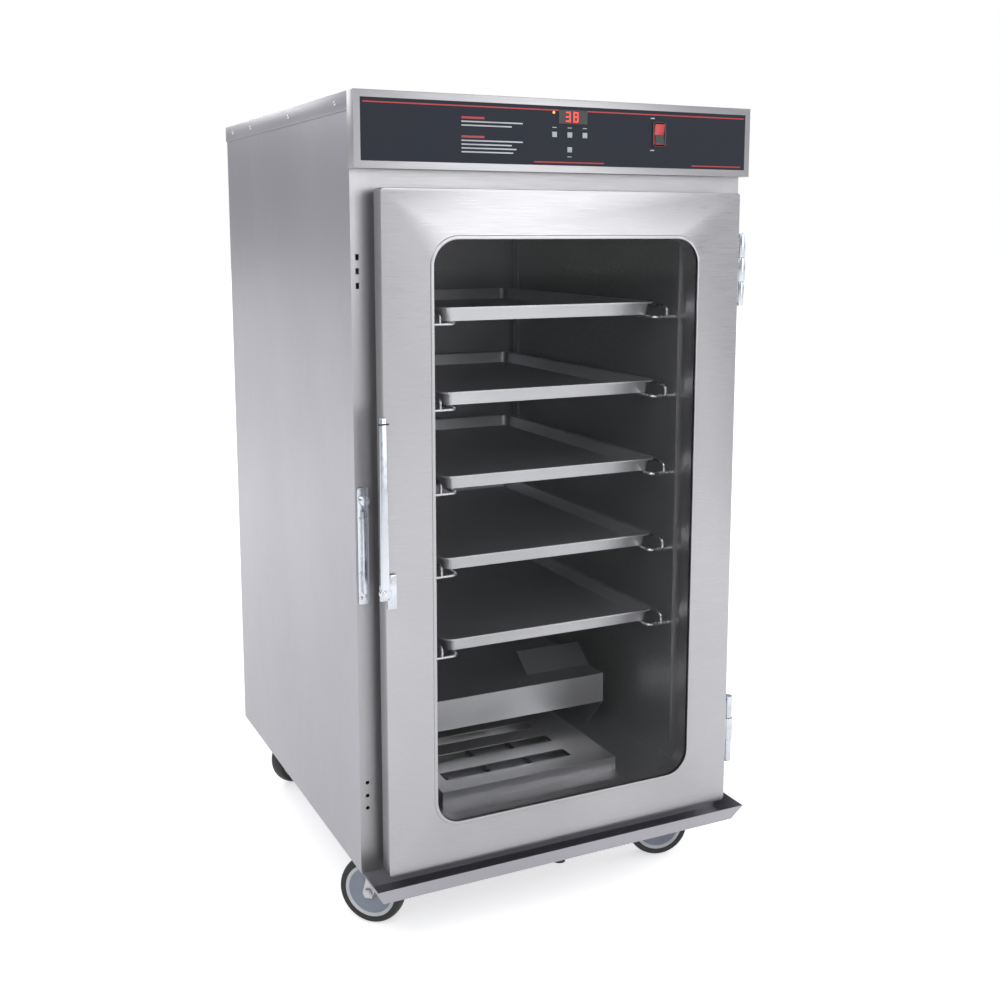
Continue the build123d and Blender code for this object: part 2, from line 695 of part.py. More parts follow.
# ---- casters ------------------------------------------------------------------------------------
fork_inner = wheel_width / 2 + fork_gap + 2
crown_z0 = 2 * wheel_radius + 4
crown_z1 = crown_z0 + 5.7
race_z0 = crown_z1 + touch_gap
kingpin_top = caster_height - 7
caster_places = {
    "front_left": (-half + caster_inset, front + caster_inset),
    "front_right": (half - caster_inset, front + caster_inset),
    "rear_left": (-half + caster_inset, rear - caster_inset),
    "rear_right": (half - caster_inset, rear - caster_inset),
}

with BuildPart() as caster_plates:
    for x, y in caster_places.values():
        reach = caster_plate / 2
        block(x - reach, x + reach, y - reach, y + reach, caster_height - caster_plate_thickness, caster_height)
        post(x, y, race_z0, caster_height - caster_plate_thickness, race_radius)
        post(x, y, race_z0 - 1, kingpin_top + 1, kingpin_radius + pin_clearance, Mode.SUBTRACT)
keep(caster_plates, "caster_plates")

for corner, (x, y) in caster_places.items():
    turn = radians(caster_angles[corner])
    trail = (cos(turn), sin(turn), 0)
    across = (sin(turn), -cos(turn), 0)
    side_plane = Plane(origin=(x, y, 0), x_dir=trail, z_dir=across)
    with BuildPart() as fork:
        post(x, y, crown_z0, crown_z1, race_radius)
        post(x, y, crown_z1, kingpin_top, kingpin_radius)
        for start in (fork_inner, -fork_inner - fork_sheet):
            with BuildSketch(side_plane.offset(start)):
                with BuildLine():
                    Polyline((-20, crown_z1), (20, crown_z1), (caster_trail + 11, wheel_radius),
                             (caster_trail + 7, wheel_radius - 10), (caster_trail - 7, wheel_radius - 10),
                             (caster_trail - 11, wheel_radius), close=True)
                make_face()
            extrude(amount=fork_sheet)
        with BuildSketch(side_plane.offset(-fork_inner)):
            with Locations((0, (crown_z0 + crown_z1) / 2)):
                Rectangle(40, crown_z1 - crown_z0)
        extrude(amount=2 * fork_inner)
        with BuildSketch(side_plane.offset(-fork_inner - fork_sheet - 5)):
            with Locations((caster_trail, wheel_radius)):
                Circle(axle_radius)
        extrude(amount=2 * (fork_inner + fork_sheet + 5))
        for start in (fork_inner + fork_sheet, -fork_inner - fork_sheet - 4):
            with BuildSketch(side_plane.offset(start)):
                with Locations((caster_trail, wheel_radius)):
                    RegularPolygon(9, 6)
            extrude(amount=4)
    keep(fork, f"caster_fork_{corner}")
    with BuildPart() as wheel:
        with BuildSketch(side_plane.offset(-hub_width / 2)):
            with Locations((caster_trail, wheel_radius)):
                Circle(wheel_radius - tyre_thickness)
        extrude(amount=hub_width)
        with BuildSketch(side_plane.offset(-fork_inner + fork_gap)):
            with Locations((caster_trail, wheel_radius)):
                Circle(14)
        extrude(amount=2 * (fork_inner - fork_gap))
        with BuildSketch(side_plane.offset(-wheel_width / 2)):
            with Locations((caster_trail, wheel_radius)):
                Circle(wheel_radius)
                Circle(wheel_radius - tyre_thickness, mode=Mode.SUBTRACT)
        extrude(amount=wheel_width)
        with BuildSketch(side_plane.offset(-fork_inner)):
            with Locations((caster_trail, wheel_radius)):
                Circle(axle_radius + pin_clearance)
        extrude(amount=2 * fork_inner, mode=Mode.SUBTRACT)
    keep(wheel, f"caster_wheel_{corner}")

# ---- mains gland and body screws ----------------------------------------------------------------
with BuildPart() as mains_gland:
    bar(gland_x, gland_z, rear, rear + gland_flange, gland_radius + 4)
    bar(gland_x, gland_z, rear + gland_flange, rear + gland_reach, gland_radius)
    bar(gland_x, gland_z, rear - 12, rear, gland_radius - 3)
    bar(gland_x, gland_z, rear - 13, rear + gland_reach + 1, gland_bore, Mode.SUBTRACT)
keep(mains_gland, "mains_gland")

with BuildPart() as body_screws:
    for side in (-1, 1):
        for y in (front + 60, front + 330, front + 600, rear - 60):
            with Locations((side * (lid_half + screw_head_height / 2), y, overall_height - lid_flange / 2)):
                Cylinder(screw_head_radius, screw_head_height, rotation=(0, 90, 0))
        for z in (skirt_height + 60, 500, 900, 1300):
            bar(side * (half - 20), z, rear, rear + screw_head_height, screw_head_radius)
keep(body_screws, "body_screws")
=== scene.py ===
"""Looks of the proofing cabinet: finishes, hardware, console graphics, stage and camera."""

import bpy
import bmesh
import json
from math import cos, pi, radians, sin
from mathutils import Euler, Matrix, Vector

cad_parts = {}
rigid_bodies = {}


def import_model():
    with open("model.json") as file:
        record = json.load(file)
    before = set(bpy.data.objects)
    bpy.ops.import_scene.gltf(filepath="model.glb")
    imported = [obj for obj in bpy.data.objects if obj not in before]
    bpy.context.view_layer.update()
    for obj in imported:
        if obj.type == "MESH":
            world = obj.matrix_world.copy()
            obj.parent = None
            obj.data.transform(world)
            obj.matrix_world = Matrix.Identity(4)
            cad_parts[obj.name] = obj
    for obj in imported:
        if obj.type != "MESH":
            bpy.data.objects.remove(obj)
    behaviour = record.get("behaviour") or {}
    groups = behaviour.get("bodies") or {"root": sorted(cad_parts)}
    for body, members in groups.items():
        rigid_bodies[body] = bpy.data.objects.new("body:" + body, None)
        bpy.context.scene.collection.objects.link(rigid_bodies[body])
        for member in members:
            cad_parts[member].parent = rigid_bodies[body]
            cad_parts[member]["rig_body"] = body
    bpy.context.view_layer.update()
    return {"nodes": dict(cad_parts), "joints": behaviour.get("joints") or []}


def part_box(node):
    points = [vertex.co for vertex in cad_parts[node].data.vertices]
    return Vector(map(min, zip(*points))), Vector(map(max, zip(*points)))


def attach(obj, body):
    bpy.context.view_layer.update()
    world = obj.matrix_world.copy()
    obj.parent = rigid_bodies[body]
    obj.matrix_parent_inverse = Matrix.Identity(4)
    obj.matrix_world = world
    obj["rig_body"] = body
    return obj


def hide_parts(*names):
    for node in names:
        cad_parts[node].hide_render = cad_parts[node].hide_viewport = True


bl_info = {
    "name": "Proofing Cabinet",
    "version": (1, 0, 0),
    "blender": (4, 5, 0),
    "location": "View3D > Sidebar > Cabinet",
    "description": "Finishes and fittings of a proofing cabinet on its packed frame",
    "category": "Object",
}

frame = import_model()
NODES = frame["nodes"]
CORNERS = ("front_left", "front_right", "rear_left", "rear_right")


# ---- settings -----------------------------------------------------------------------------------
def colour(name, description, default):
    """A colour setting."""
    return bpy.props.FloatVectorProperty(name=name, description=description, default=default,
                                         subtype="COLOR", size=3, min=0, max=1)


def length(name, description, default):
    """A length setting, in metres."""
    return bpy.props.FloatProperty(name=name, description=description, default=default,
                                   unit="LENGTH", precision=4)


class CABINET_PG_finish(bpy.types.PropertyGroup):
    skin: colour("Skin", "Brushed stainless of the body", (0.33, 0.322, 0.352))
    door: colour("Door", "Brushed stainless of the door and face frame", (0.39, 0.385, 0.40))
    liner: colour("Liner", "Steel inside the cavity", (0.36, 0.36, 0.37))
    pan: colour("Pans", "Aluminium of the sheet pans", (0.60, 0.60, 0.62))
    overlay: colour("Overlay", "Film on the control console", (0.008, 0.011, 0.020))
    accent: colour("Accent", "Red of the rules, bars and rocker", (0.45, 0.02, 0.025))
    hub: colour("Hub", "Disc of the caster wheels", (0.21, 0.24, 0.29))
    rubber: colour("Rubber", "Gasket, plug and tyres", (0.013, 0.013, 0.014))


class CABINET_PG_sizes(bpy.types.PropertyGroup):
    screw_radius: length("Screw radius", "Radius of a screw head", 0.0042)
    screw_height: length("Screw height", "Height of a screw head", 0.0019)
    louvre_length: length("Louvre length", "Length of one louvre in the rear panel", 0.11)
    louvre_pitch: length("Louvre pitch", "Spacing of the louvres", 0.018)
    louvre_rows: bpy.props.IntProperty(name="Louvre rows", description="Louvres in one column",
                                       default=7, min=1)
    digit_height: length("Digit height", "Height of the display's digits", 0.017)
    rule_width: length("Rule width", "Width of the red rules on the console", 0.0022)


def finish():
    """The colour settings."""
    return bpy.context.scene.cabinet_finish


def sizes():
    """The size settings."""
    return bpy.context.scene.cabinet_sizes


# ---- materials ----------------------------------------------------------------------------------
class Shader:
    """A material on one Principled shader, with short ways to add the nodes it uses."""

    def __init__(self, name, base, metallic=0.0, roughness=0.5, **extra):
        self.material = bpy.data.materials.new(name)
        self.material.use_nodes = True
        self.tree = self.material.node_tree
        self.shader = self.tree.nodes["Principled BSDF"]
        self.shader.inputs["Base Color"].default_value = (*base, 1)
        self.shader.inputs["Metallic"].default_value = metallic
        self.shader.inputs["Roughness"].default_value = roughness
        for key, value in extra.items():
            self.shader.inputs[key.replace("_", " ")].default_value = value
        self.material.diffuse_color = (*base, 1)

    def add(self, kind, **values):
        node = self.tree.nodes.new(kind)
        for key, value in values.items():
            setattr(node, key, value)
        return node

    def link(self, a, b):
        self.tree.links.new(a, b)

    def noise(self, scale, stretch=(1, 1, 1), detail=3.0):
        """Noise on Object coordinates; a small stretch value draws it out along that axis."""
        place = self.add("ShaderNodeTexCoord")
        mapping = self.add("ShaderNodeMapping")
        mapping.inputs["Scale"].default_value = stretch
        noise = self.add("ShaderNodeTexNoise")
        noise.inputs["Scale"].default_value = scale
        noise.inputs["Detail"].default_value = detail
        self.link(place.outputs["Object"], mapping.inputs["Vector"])
        self.link(mapping.outputs["Vector"], noise.inputs["Vector"])
        return noise.outputs["Fac"]

    def spread(self, source, low, high, socket, from_low=0.3, from_high=0.7):
        """Drive a number socket of the shader between two values."""
        span = self.add("ShaderNodeMapRange")
        span.inputs["From Min"].default_value = from_low
        span.inputs["From Max"].default_value = from_high
        span.inputs["To Min"].default_value = low
        span.inputs["To Max"].default_value = high
        self.link(source, span.inputs["Value"])
        self.link(span.outputs["Result"], self.shader.inputs[socket])

    def tint(self, source, first, second, from_low=0.3, from_high=0.7):
        """Vary the base colour between two colours."""
        ramp = self.add("ShaderNodeValToRGB")
        ramp.color_ramp.elements[0].position = from_low
        ramp.color_ramp.elements[1].position = from_high
        ramp.color_ramp.elements[0].color = (*first, 1)
        ramp.color_ramp.elements[1].color = (*second, 1)
        self.link(source, ramp.inputs["Fac"])
        self.link(ramp.outputs["Color"], self.shader.inputs["Base Color"])

    def bump(self, source, strength, distance):
        bump = self.add("ShaderNodeBump")
        bump.inputs["Strength"].default_value = strength
        bump.inputs["Distance"].default_value = distance
        self.link(source, bump.inputs["Height"])
        self.link(bump.outputs["Normal"], self.shader.inputs["Normal"])


def scaled(base, factor):
    """A colour made lighter or darker."""
    return tuple(min(1.0, c * factor) for c in base)


SCRATCHES = 1400            # scale of the brush marks across their grain
HANDLING_MARKS = 3.2        # scale of the cloudy marks


def brushed(name, base, grain, roughness=0.34, contrast=0.10):
    """Brushed stainless: fine scratches drawn out along one axis, with faint cloudy handling marks."""
    s = Shader(name, base, metallic=0.86, roughness=roughness)
    fine = s.noise(SCRATCHES, grain, 2.0)
    cloud = s.noise(HANDLING_MARKS, (1, 1, 0.6), 4.0)
    s.spread(fine, roughness - 0.05, roughness + 0.06, "Roughness")
    s.tint(cloud, scaled(base, 1 - contrast), scaled(base, 1 + contrast * 0.7), 0.25, 0.75)
    s.bump(fine, 0.12, 0.00005)
    return s.material


def polished(name, base, roughness):
    """Bright plated metal with faint wear."""
    s = Shader(name, base, metallic=1.0, roughness=roughness)
    wear = s.noise(60, (1, 1, 1), 5.0)
    s.spread(wear, roughness * 0.7, roughness * 1.8, "Roughness")
    s.tint(wear, scaled(base, 0.86), scaled(base, 1.04))
    return s.material


def moulded(name, base, roughness, grain=900, strength=0.12, **extra):
    """Moulded plastic or rubber with a fine texture and a little dust."""
    s = Shader(name, base, roughness=roughness, **extra)
    texture = s.noise(grain, (1, 1, 1), 2.0)
    dust = s.noise(14, (1, 1, 1), 5.0)
    s.spread(dust, roughness - 0.06, roughness + 0.10, "Roughness")
    s.tint(dust, scaled(base, 0.85), tuple(c * 1.15 + 0.004 for c in base))
    s.bump(texture, strength, 0.0002)
    return s.material


def glowing(name, base, strength):
    """Lit segment or lamp."""
    s = Shader(name, base, roughness=0.3)
    s.shader.inputs["Emission Color"].default_value = (*base, 1)
    s.shader.inputs["Emission Strength"].default_value = strength
    halo = s.noise(300)
    s.spread(halo, 0.25, 0.35, "Roughness")
    return s.material


def glass(name):
    """Clear door glass with a faint film of flour dust."""
    s = Shader(name, (0.012, 0.014, 0.015), roughness=0.0)
    s.shader.inputs["Alpha"].default_value = 0.10
    s.shader.inputs["IOR"].default_value = 1.45
    film = s.noise(5, (1, 1, 1), 6.0)
    s.spread(film, 0.02, 0.09, "Roughness")
    return s.material


def wool(name):
    """Mineral wool with fibres that lie flat."""
    s = Shader(name, (0.52, 0.46, 0.25), roughness=0.95)
    fibre = s.noise(160, (1, 1, 0.2), 6.0)
    s.tint(fibre, (0.40, 0.34, 0.17), (0.62, 0.56, 0.34))
    s.bump(fibre, 0.8, 0.002)
    return s.material


MATERIALS = {}


def make_materials():
    """Make every material; a grain is short along the way the brush marks run."""
    f = finish()
    across = (0.012, 1, 1)
    upright = (1, 1, 0.012)
    deep = (1, 0.012, 1)
    MATERIALS.update(
        side=brushed("side_stainless", f.skin, upright),
        lid=brushed("lid_stainless", scaled(f.skin, 1.08), deep),
        face=brushed("frame_stainless", scaled(f.door, 0.92), upright),
        header=brushed("header_stainless", scaled(f.door, 0.88), across),
        door=brushed("door_brushed", f.door, across, 0.31),
        liner=brushed("liner_brushed", f.liner, upright, 0.42, 0.16),
        shelf=brushed("module_brushed", scaled(f.liner, 1.5), across, 0.33, 0.14),
        tray=brushed("trough_brushed", scaled(f.skin, 1.05), across, 0.36),
        chrome=polished("chrome_plate", (0.55, 0.57, 0.61), 0.16),
        wire=polished("wire_plate", (0.62, 0.62, 0.64), 0.22),
        zinc=polished("zinc_plate", (0.50, 0.50, 0.51), 0.33),
        pan=brushed("pan_brushed", f.pan, (1, 1, 1), 0.33, 0.14),
        element=polished("element_sheath", (0.30, 0.26, 0.24), 0.35),
        motor=moulded("motor_paint", (0.03, 0.03, 0.034), 0.42),
        overlay=moulded("overlay_film_print", f.overlay, 0.55, 500, 0.05,
                        Specular_IOR_Level=0.25),
        key=moulded("key_cap", (0.34, 0.37, 0.42), 0.45),
        rocker=moulded("rocker_cap", f.accent, 0.28, 400, 0.03),
        black=moulded("black_bezel", (0.012, 0.012, 0.013), 0.36),
        accent=moulded("accent_print", scaled(f.accent, 0.8), 0.4),
        print=moulded("pale_print", (0.42, 0.44, 0.48), 0.45),
        lit=glowing("red_segment", (1.0, 0.03, 0.02), 2.2),
        lamp=glowing("amber_lamp", (1.0, 0.30, 0.05), 1.5),
        glass=glass("door_pane"),
        rubber=moulded("seal_rubber", f.rubber, 0.62),
        tyre=moulded("tyre_rubber", f.rubber, 0.58, 260, 0.2),
        hub=moulded("hub_polymer", f.hub, 0.42, 500, 0.08),
        ring=moulded("hub_ring", (0.52, 0.53, 0.54), 0.4),
        wool=wool("mineral_wool"),
        board=moulded("board_green", (0.02, 0.11, 0.045), 0.4),
    )


FINISHES = {
    "side": ("left_side_panel", "right_side_panel", "rear_panel", "base_chassis"),
    "lid": ("top_lid",),
    "face": ("left_jamb", "right_jamb", "sill_rail"),
    "header": ("header_rail", "console_housing"),
    "door": ("door_outer_frame", "door_inner_frame"),
    "liner": ("liner_left", "liner_right", "liner_back", "liner_top", "liner_floor", "rack_uprights"),
    "shelf": ("heater_hood", "slotted_cover", "water_pan"),
    "tray": ("drip_trough",),
    "chrome": ("hinge_body_leaves", "hinge_door_leaves", "latch_body", "latch_lever",
               "latch_strike", "body_screws"),
    "wire": ("left_slides", "right_slides", "temperature_probe"),
    "zinc": ("caster_plates", *(f"caster_fork_{c}" for c in CORNERS)),
    "pan": tuple(f"sheet_pan_{i}" for i in range(1, 6)),
    "element": ("heating_elements",),
    "motor": ("fan_motor", "fan_wheel"),
    "overlay": ("control_overlay",),
    "key": tuple(f"key_{k}" for k in ("up", "left", "right", "down")),
    "rocker": ("power_rocker",),
    "glass": ("door_glass",),
    "rubber": ("door_gasket", "drain_plug", "mains_gland"),
    "tyre": tuple(f"caster_wheel_{c}" for c in CORNERS),
    "wool": ("insulation",),
    "board": ("control_electronics",),
}


# ---- mesh helpers -------------------------------------------------------------------------------
WELD = 1e-6                     # vertices closer than this are one


def put(name, mesh, body, slot, *materials):
    """Link a new mesh, which has no materials yet, as a piece that rides on a body."""
    obj = bpy.data.objects.new(name, mesh)
    bpy.context.scene.collection.objects.link(obj)
    for key in materials:
        obj.data.materials.append(MATERIALS[key])
    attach(obj, body)
    return obj


def ranked(elements, place):
    """Sort a bmesh's elements by their place, so that each run stores them in one order."""
    ranks = {e: i for i, e in enumerate(sorted(elements, key=lambda e: tuple(place(e))))}
    elements.sort(key=ranks.get)


def mesh_of(name, bm, smooth=None):
    """Finish a bmesh: weld it, turn its faces outwards, put it in order and shade it."""
    bmesh.ops.remove_doubles(bm, verts=bm.verts, dist=WELD)
    bmesh.ops.recalc_face_normals(bm, faces=bm.faces)
    ranked(bm.verts, lambda vert: vert.co)
    ranked(bm.faces, lambda face: face.calc_center_median())
    mesh = bpy.data.meshes.new(name)
    bm.to_mesh(mesh)
    bm.free()
    if smooth is not None:
        mesh.shade_smooth()
        mesh.set_sharp_from_angle(angle=smooth)
    return mesh


def add_box(bm, low, high, bevel=0.0):
    """Add a closed box to a bmesh, with rounded edges if a bevel is given."""
    made = bmesh.ops.create_cube(bm, size=1)["verts"]
    middle = (Vector(low) + Vector(high)) / 2
    span = Vector(high) - Vector(low)
    for vert in made:
        vert.co = middle + Vector(c * s for c, s in zip(vert.co, span))
    if bevel:
        edges = list(dict.fromkeys(edge for vert in made for edge in vert.link_edges))
        bmesh.ops.bevel(bm, geom=edges, offset=bevel, segments=2, affect="EDGES", profile=0.5,
                        material=0)


def add_lathe(bm, profile, centre, axis, steps=64, closed=True):
    """Turn a profile of (radius, height, material) points about an axis."""
    axis = Vector(axis).normalized()
    side = axis.orthogonal().normalized()
    other = axis.cross(side)
    rings = []
    for radius, height, _ in profile:
        base = Vector(centre) + axis * height
        if radius < 1e-6:
            rings.append([bm.verts.new(base)])
            continue
        turns = [2 * pi * i / steps for i in range(steps)]
        rings.append([bm.verts.new(base + (side * cos(a) + other * sin(a)) * radius) for a in turns])
    pairs = list(zip(rings, rings[1:], profile))
    if closed and len(rings[0]) > 1:
        pairs.append((rings[-1], rings[0], profile[-1]))
    for ring, following, point in pairs:
        for i in range(steps):
            j = (i + 1) % steps
            corners = [ring[i % len(ring)], ring[j % len(ring)], following[j % len(following)],
                       following[i % len(following)]]
            unique = list(dict.fromkeys(corners))
            if len(unique) > 2:
                bm.faces.new(unique).material_index = point[2]


FLAT_ANGLE = radians(1.0)       # faces closer than this to one plane are joined
BEVEL_ANGLE = radians(35)
SHARP_ANGLE = radians(28)
BEVEL_SEGMENTS = 3


def softened(node, width):
    """Replace a CAD node by a copy with its sharp edges rounded and its curves shaded smooth."""
    source = NODES[node]
    mesh = source.data.copy()
    bm = bmesh.new()
    bm.from_mesh(mesh)
    bmesh.ops.remove_doubles(bm, verts=bm.verts, dist=WELD)
    bmesh.ops.dissolve_limit(bm, angle_limit=FLAT_ANGLE, verts=bm.verts, edges=bm.edges)
    bm.to_mesh(mesh)
    bm.free()
    obj = bpy.data.objects.new(f"{node}_finished", mesh)
    bpy.context.scene.collection.objects.link(obj)
    bevel = obj.modifiers.new("edge", "BEVEL")
    bevel.width = width
    bevel.segments = BEVEL_SEGMENTS
    bevel.limit_method = "ANGLE"
    bevel.angle_limit = BEVEL_ANGLE
    evaluated = obj.evaluated_get(bpy.context.evaluated_depsgraph_get())
    final = bpy.data.meshes.new_from_object(evaluated)
    obj.modifiers.clear()
    obj.data = final
    final.shade_smooth()
    final.set_sharp_from_angle(angle=SHARP_ANGLE)
    final.materials.clear()
    final.materials.append(source.data.materials[0])
    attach(obj, source["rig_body"])
    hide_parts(node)
    return obj


# ---- Geometry Nodes -----------------------------------------------------------------------------
def instance_tree(name, sizes_wanted, material):
    """A tree that puts a small turned or boxed form on every point of its mesh.

    Returns the tree, its group input and a function that closes it with the form to repeat.
    """
    tree = bpy.data.node_groups.new(name, "GeometryNodeTree")
    tree.interface.new_socket("Geometry", in_out="INPUT", socket_type="NodeSocketGeometry")
    for label, value in sizes_wanted.items():
        socket = tree.interface.new_socket(label, in_out="INPUT", socket_type="NodeSocketFloat")
        socket.default_value = value
    tree.interface.new_socket("Geometry", in_out="OUTPUT", socket_type="NodeSocketGeometry")
    start = tree.nodes.new("NodeGroupInput")
    end = tree.nodes.new("NodeGroupOutput")

    def close(form, turn):
        spread = tree.nodes.new("GeometryNodeInstanceOnPoints")
        spread.inputs["Rotation"].default_value = turn
        real = tree.nodes.new("GeometryNodeRealizeInstances")
        paint = tree.nodes.new("GeometryNodeSetMaterial")
        paint.inputs["Material"].default_value = material
        tree.links.new(start.outputs["Geometry"], spread.inputs["Points"])
        tree.links.new(form, spread.inputs["Instance"])
        tree.links.new(spread.outputs["Instances"], real.inputs["Geometry"])
        tree.links.new(real.outputs["Geometry"], paint.inputs["Geometry"])
        tree.links.new(paint.outputs["Geometry"], end.inputs["Geometry"])

    return tree, start, close


def run_tree(name, tree, points, values, body, material):
    """Evaluate a tree on a cloud of points and keep the result as a plain mesh."""
    cloud = bpy.data.meshes.new(f"{name}_points")
    cloud.from_pydata([tuple(p) for p in points], [], [])
    obj = bpy.data.objects.new(name, cloud)
    bpy.context.scene.collection.objects.link(obj)
    modifier = obj.modifiers.new("repeat", "NODES")
    modifier.node_group = tree
    for item in tree.interface.items_tree:
        if item.in_out == "INPUT" and item.name in values:
            modifier[item.identifier] = values[item.name]
    evaluated = obj.evaluated_get(bpy.context.evaluated_depsgraph_get())
    mesh = bpy.data.meshes.new_from_object(evaluated)
    obj.modifiers.clear()
    obj.data = mesh
    mesh.materials.clear()
    mesh.materials.append(MATERIALS[material])
    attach(obj, body)
    return obj


def screw_tree(turn):
    """Pan-head screws: a flattened ball at every point, half of it sunk in the sheet."""
    tree, start, close = instance_tree("screw_heads", {"Radius": 0.004, "Height": 0.002},
                                       MATERIALS["chrome"])
    ball = tree.nodes.new("GeometryNodeMeshUVSphere")
    ball.inputs["Segments"].default_value = 24
    ball.inputs["Rings"].default_value = 12
    shape = tree.nodes.new("GeometryNodeTransform")
    scale = tree.nodes.new("ShaderNodeCombineXYZ")
    scale.inputs["X"].default_value = 1
    scale.inputs["Y"].default_value = 1
    ratio = tree.nodes.new("ShaderNodeMath")
    ratio.operation = "DIVIDE"
    tree.links.new(start.outputs["Height"], ratio.inputs[0])
    tree.links.new(start.outputs["Radius"], ratio.inputs[1])
    tree.links.new(ratio.outputs["Value"], scale.inputs["Z"])
    tree.links.new(start.outputs["Radius"], ball.inputs["Radius"])
    tree.links.new(ball.outputs["Mesh"], shape.inputs["Geometry"])
    tree.links.new(scale.outputs["Vector"], shape.inputs["Scale"])
    close(shape.outputs["Geometry"], turn)
    return tree


def louvre_tree():
    """Louvres: a long half-round hood for every point."""
    tree, start, close = instance_tree("louvres", {"Length": 0.11, "Depth": 0.006},
                                       MATERIALS["side"])
    rod = tree.nodes.new("GeometryNodeMeshCylinder")
    rod.inputs["Vertices"].default_value = 16
    tree.links.new(start.outputs["Length"], rod.inputs["Depth"])
    tree.links.new(start.outputs["Depth"], rod.inputs["Radius"])
    close(rod.outputs["Mesh"], (0, pi / 2, 0))
    return tree


# ---- operators ----------------------------------------------------------------------------------
class CABINET_OT_finishes(bpy.types.Operator):
    """Make the materials and give every CAD node its finish"""
    bl_idname = "cabinet.finishes"
    bl_label = "Finishes"

    def execute(self, context):
        make_materials()
        for key, names in FINISHES.items():
            for name in names:
                mesh = NODES[name].data
                mesh.materials.clear()
                mesh.materials.append(MATERIALS[key])
        return {"FINISHED"}


EDGE_WIDTHS = {
    "door_outer_frame": 0.0009, "console_housing": 0.0007, "latch_lever": 0.0022,
    "latch_strike": 0.0014, "hinge_body_leaves": 0.0009, "hinge_door_leaves": 0.0009,
    "power_rocker": 0.0008, "drip_trough": 0.0006, "top_lid": 0.0006, "door_gasket": 0.004,
    **{f"key_{k}": 0.0009 for k in ("up", "left", "right", "down")},
}


class CABINET_OT_soft_edges(bpy.types.Operator):
    """Round the edges of sheet-metal and hardware nodes"""
    bl_idname = "cabinet.soft_edges"
    bl_label = "Soft edges"

    def execute(self, context):
        for node, width in EDGE_WIDTHS.items():
            softened(node, width)
        return {"FINISHED"}


LID_SCREW_DROP = 0.0155                     # below the lid's top
LID_SCREW_ROWS = (0.0585, 0.3285, 0.5985)   # behind the lid's front
LID_SCREW_LAST = 0.062                      # ahead of the lid's back
REAR_SCREW_INSET = 0.02                     # in from the rear panel's sides
REAR_SCREW_HEIGHTS = (0.211, 0.5, 0.9, 1.3)
STRIKE_SCREW_INSET = 0.004                  # in from the strike's side
STRIKE_SCREW_RISES = (0.012, 0.055, 0.150)  # above the strike's lower end
STRIKE_PLATE = 0.004                        # strike's plate, ahead of the jamb
LATCH_SCREW_INSET = 0.0095                  # in from the door's edge
LATCH_SCREW_END = 0.012                     # in from the latch plate's ends
LATCH_PLATE = 0.005                         # latch plate, ahead of the door
SMALL_SCREW = (0.8, 0.7)                    # radius and height against a lid screw's


class CABINET_OT_screws(bpy.types.Operator):
    """Pan-head screws on the lid, rear panel, strike and latch"""
    bl_idname = "cabinet.screws"
    bl_label = "Screws"

    def execute(self, context):
        s = sizes()
        values = {"Radius": s.screw_radius, "Height": s.screw_height}
        small = {"Radius": s.screw_radius * SMALL_SCREW[0], "Height": s.screw_height * SMALL_SCREW[1]}
        facing_back = (pi / 2, 0, 0)
        low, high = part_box("top_lid")
        depths = [low.y + row for row in LID_SCREW_ROWS] + [high.y - LID_SCREW_LAST]
        sides = [Vector((x, y, high.z - LID_SCREW_DROP)) for x in (low.x, high.x) for y in depths]
        low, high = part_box("rear_panel")
        backs = [Vector((x, high.y, z)) for x in (low.x + REAR_SCREW_INSET, high.x - REAR_SCREW_INSET)
                 for z in REAR_SCREW_HEIGHTS]
        lid = run_tree("lid_screws", screw_tree((0, pi / 2, 0)), sides, values, "root",
                       "chrome")
        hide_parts("body_screws")
        run_tree("rear_screws", screw_tree(facing_back), backs, values, "root",
                 "chrome")
        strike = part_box("latch_strike")[0]
        strike_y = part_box("left_jamb")[0].y - STRIKE_PLATE
        strikes = [Vector((strike.x + STRIKE_SCREW_INSET, strike_y, strike.z + rise))
                   for rise in STRIKE_SCREW_RISES]
        run_tree("strike_screws", screw_tree(facing_back), strikes, small, "root",
                 "chrome")
        low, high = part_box("latch_body")
        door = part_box("door_outer_frame")[0]
        latches = [Vector((door.x + LATCH_SCREW_INSET, door.y - LATCH_PLATE, z))
                   for z in (low.z + LATCH_SCREW_END, high.z - LATCH_SCREW_END)]
        run_tree("door_screws", screw_tree(facing_back), latches, small, "door",
                 "chrome")
        return {"FINISHED"}


LOUVRE_COLUMNS = (-0.16, 0.16)
LOUVRE_DROP = 0.06                  # first louvre below the rear panel's top
LOUVRE_DEPTH = 0.0055


class CABINET_OT_louvres(bpy.types.Operator):
    """Louvres in the upper part of the rear panel"""
    bl_idname = "cabinet.louvres"
    bl_label = "Louvres"

    def execute(self, context):
        s = sizes()
        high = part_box("rear_panel")[1]
        points = [Vector((x, high.y, high.z - LOUVRE_DROP - i * s.louvre_pitch))
                  for x in LOUVRE_COLUMNS for i in range(s.louvre_rows)]
        run_tree("rear_louvres", louvre_tree(), points,
                 {"Length": s.louvre_length, "Depth": LOUVRE_DEPTH}, "root", "side")
        return {"FINISHED"}


